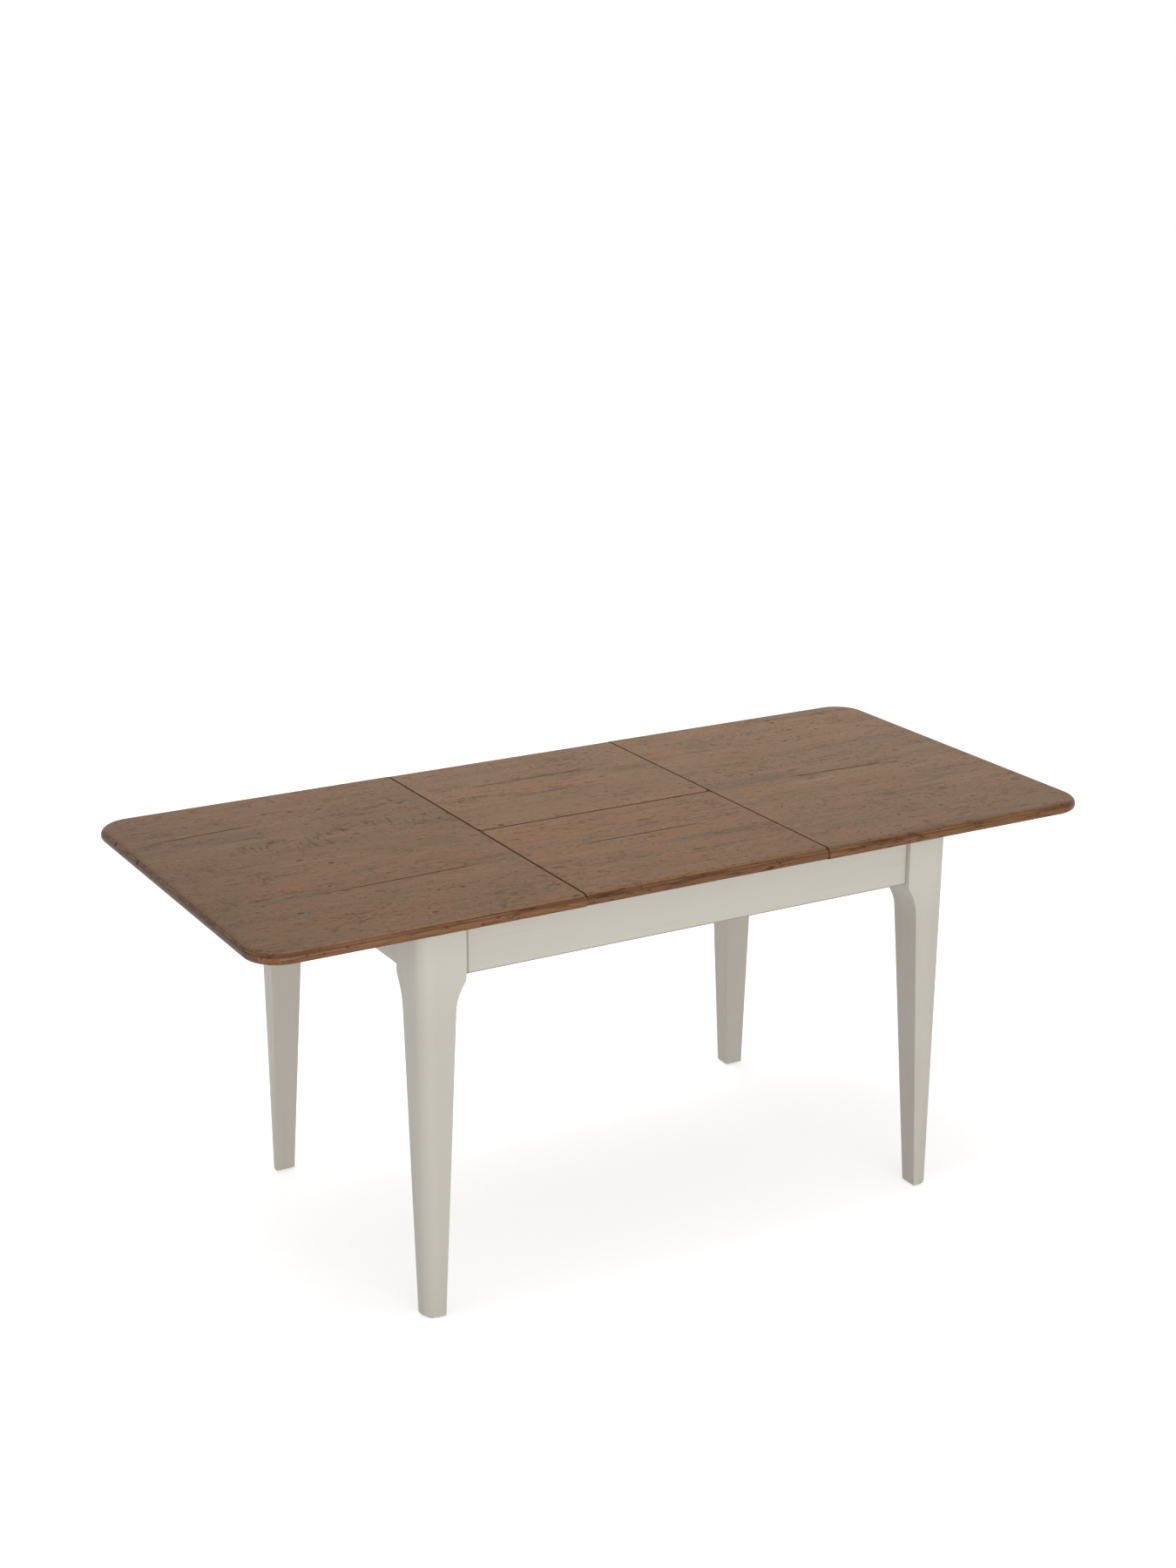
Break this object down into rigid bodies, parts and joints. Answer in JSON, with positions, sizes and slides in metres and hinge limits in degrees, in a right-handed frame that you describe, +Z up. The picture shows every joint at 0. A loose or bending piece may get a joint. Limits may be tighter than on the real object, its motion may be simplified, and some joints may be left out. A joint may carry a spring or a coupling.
{
  "type": "butterfly leaf table",
  "caption": "Extending dining table with a brown plank top, grey painted tapered legs and a folding centre leaf stored under sliding end tops.",
  "frame": {"origin": "on the floor under the middle of the table", "axes": "+X along the length towards the right top, -Y towards the front of the picture, +Z up"},
  "size_m": [1.7, 0.8, 0.75],
  "materials": {
    "stained_wood": "distressed brown stain, satin lacquer",
    "painted_wood": "warm grey satin paint",
    "beech": "plain planed hardwood",
    "zinc_steel": "zinc plated",
    "bronze": "dark bronzed",
    "glide_plastic": "matt",
    "spacer_plastic": "natural nylon"
  },
  "bodies": {
    "frame": {"leg_front_left": "painted_wood", "leg_front_right": "painted_wood", "leg_rear_left": "painted_wood", "leg_rear_right": "painted_wood", "apron_front": "painted_wood", "apron_rear": "painted_wood", "apron_left": "painted_wood", "apron_right": "painted_wood", "corner_block_front_left": "beech", "corner_block_front_right": "beech", "corner_block_rear_left": "beech", "corner_block_rear_right": "beech", "leg_bolts": "zinc_steel", "leg_washers": "zinc_steel", "leg_nuts": "zinc_steel", "apron_dowels": "beech", "block_screws": "zinc_steel", "foot_glides": "glide_plastic", "bearer_left": "beech", "bearer_right": "beech", "slide_rail_front": "beech", "slide_rail_rear": "beech", "rail_screws": "zinc_steel", "pivot_plate_left": "zinc_steel", "pivot_plate_right": "zinc_steel", "pivot_plate_screws_left": "zinc_steel", "pivot_plate_screws_right": "zinc_steel", "leaf_ledge_left": "beech", "leaf_ledge_right": "beech", "ledge_screws_left": "zinc_steel", "ledge_screws_right": "zinc_steel"},
    "left_top": {"top_left": "stained_wood", "runner_left_front": "beech", "runner_left_rear": "beech", "runner_screws_left": "zinc_steel"},
    "right_top": {"top_right": "stained_wood", "runner_right_front": "beech", "runner_right_rear": "beech", "runner_screws_right": "zinc_steel"},
    "leaf_rear_half": {"leaf_rear": "stained_wood", "hinge_plate_rear_left": "bronze", "hinge_plate_rear_right": "bronze", "hinge_screws_rear": "bronze", "pivot_bracket_left": "zinc_steel", "pivot_bracket_right": "zinc_steel", "bracket_screws": "zinc_steel", "pivot_pins": "zinc_steel", "pivot_spacers": "spacer_plastic", "pivot_clips": "zinc_steel", "hinge_pins_rear": "bronze"},
    "hinge_links": {"hinge_link_left": "bronze", "hinge_link_right": "bronze"},
    "leaf_front_half": {"leaf_front": "stained_wood", "hinge_plate_front_left": "bronze", "hinge_plate_front_right": "bronze", "hinge_screws_front": "bronze", "hinge_pins_front": "bronze"}
  },
  "joints": [
    {"name": "left_top_slide", "type": "slide", "parent": "frame", "child": "left_top", "axis": [-1, 0, 0], "range_m": [0, 0.025]},
    {"name": "right_top_slide", "type": "slide", "parent": "frame", "child": "right_top", "axis": [1, 0, 0], "range_m": [0, 0.025]},
    {"name": "leaf_pivot", "type": "hinge", "parent": "frame", "child": "leaf_rear_half", "pos_m": [0, 0.1, 0.714], "axis": [1, 0, 0], "range_deg": [0, 90]},
    {"name": "link_turn", "type": "hinge", "parent": "leaf_rear_half", "child": "hinge_links", "pos_m": [0, 0.003, 0.7473], "axis": [1, 0, 0], "range_deg": [-90, 0]},
    {"name": "leaf_fold", "type": "hinge", "parent": "leaf_rear_half", "child": "leaf_front_half", "pos_m": [0, 0, 0.7503], "axis": [1, 0, 0], "range_deg": [-180, 0]}
  ],
  "couplings": [
    {"joint": "link_turn", "follows": "leaf_pivot", "ratio": -1},
    {"joint": "leaf_fold", "follows": "leaf_pivot", "ratio": -2}
  ]
}
